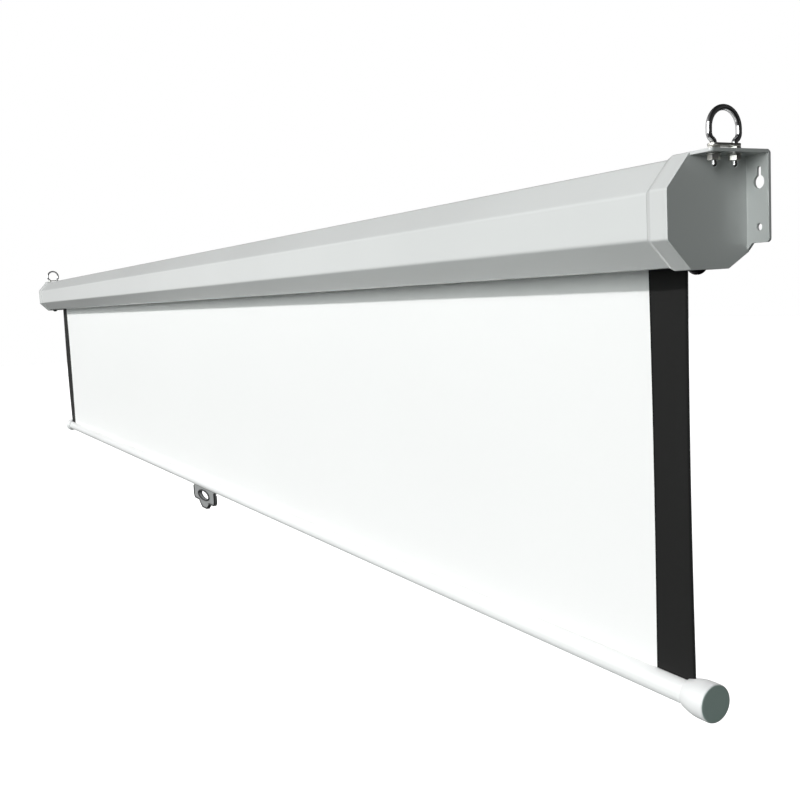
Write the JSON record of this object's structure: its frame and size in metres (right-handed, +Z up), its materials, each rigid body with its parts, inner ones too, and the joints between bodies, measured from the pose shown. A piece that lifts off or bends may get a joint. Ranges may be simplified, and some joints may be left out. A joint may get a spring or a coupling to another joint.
{
  "type": "pull-down projection screen",
  "caption": "Wall or ceiling hung case with a spring roller, white fabric with black side borders, a weighted bar and a pull handle.",
  "frame": {"origin": "on the wall plane, midway between the lower round holes of the two wall flanges", "axes": "+X along the case to the audience's right as they face the screen, -Y from the wall towards the audience, +Z up"},
  "size_m": [2.651, 0.082, 0.5094],
  "materials": {
    "case_paint": "satin silver-white powder coat",
    "plate_paint": "satin silver-white powder coat",
    "black_screw": "black oxide",
    "zinc_plate": "bright zinc plate",
    "ring_chrome": "polished chrome",
    "moulded_nylon": "moulded nylon",
    "bush_plastic": "self-lubricating plastic",
    "bright_steel": "turned steel",
    "spring_steel": "oiled spring steel",
    "tube_zinc": "galvanised tube",
    "screen_white": "matt white coated cloth",
    "border_black": "matt black coating",
    "bar_paint": "satin white paint",
    "cap_plastic": "moulded plastic",
    "handle_plastic": "moulded grey plastic"
  },
  "bodies": {
    "case": {"case_shell": "case_paint", "end_collar_left": "case_paint", "end_collar_right": "case_paint", "end_plate_left": "plate_paint", "end_plate_right": "plate_paint", "end_screws": "black_screw", "end_screw_nuts": "zinc_plate", "hanging_ring_left": "ring_chrome", "hanging_ring_right": "ring_chrome", "ring_cross_plates": "zinc_plate", "ring_spacer_nuts": "zinc_plate", "ring_washers": "zinc_plate", "ring_lock_nuts": "zinc_plate", "spindle_seat": "moulded_nylon", "idler_seat": "moulded_nylon", "idler_bush": "bush_plastic", "spring_spindle": "bright_steel", "torsion_spring": "spring_steel", "ratchet_wheel": "bright_steel"},
    "roller": {"roller_tube": "tube_zinc", "ratchet_head": "moulded_nylon", "idler_plug": "moulded_nylon", "idler_pin": "bright_steel", "spring_anchor": "moulded_nylon", "pawl_pins": "bright_steel", "fabric_roll": "screen_white"},
    "bar": {"weight_tube": "bar_paint", "hem_rod": "bright_steel", "bar_cap_left": "cap_plastic", "bar_cap_right": "cap_plastic", "pull_handle": "handle_plastic", "handle_screws": "bright_steel", "screen_fabric": "screen_white", "masking_borders": "border_black"},
    "rear_pawl": {"pawl_rear": "zinc_plate"},
    "front_pawl": {"pawl_front": "zinc_plate"}
  },
  "joints": [
    {"name": "pull_down", "type": "slide", "parent": "case", "child": "bar", "axis": [0, 0, -1], "range_m": [-0.324, 1.512], "deforming": ["screen_fabric", "masking_borders"]},
    {"name": "roller_spin", "type": "hinge", "parent": "case", "child": "roller", "pos_m": [0, -0.04756, 0.0145], "axis": [-1, 0, 0], "range_deg": [-811, 3781]},
    {"name": "rear_pawl_swing", "type": "hinge", "parent": "roller", "child": "rear_pawl", "pos_m": [1.2758, -0.03506, 0.0025], "axis": [1, 0, 0], "range_deg": [0, 18]},
    {"name": "front_pawl_swing", "type": "hinge", "parent": "roller", "child": "front_pawl", "pos_m": [1.2758, -0.06006, 0.0265], "axis": [1, 0, 0], "range_deg": [0, 18]}
  ],
  "couplings": [
    {"joint": "roller_spin", "follows": "pull_down", "rad_per_m": 43.633}
  ]
}
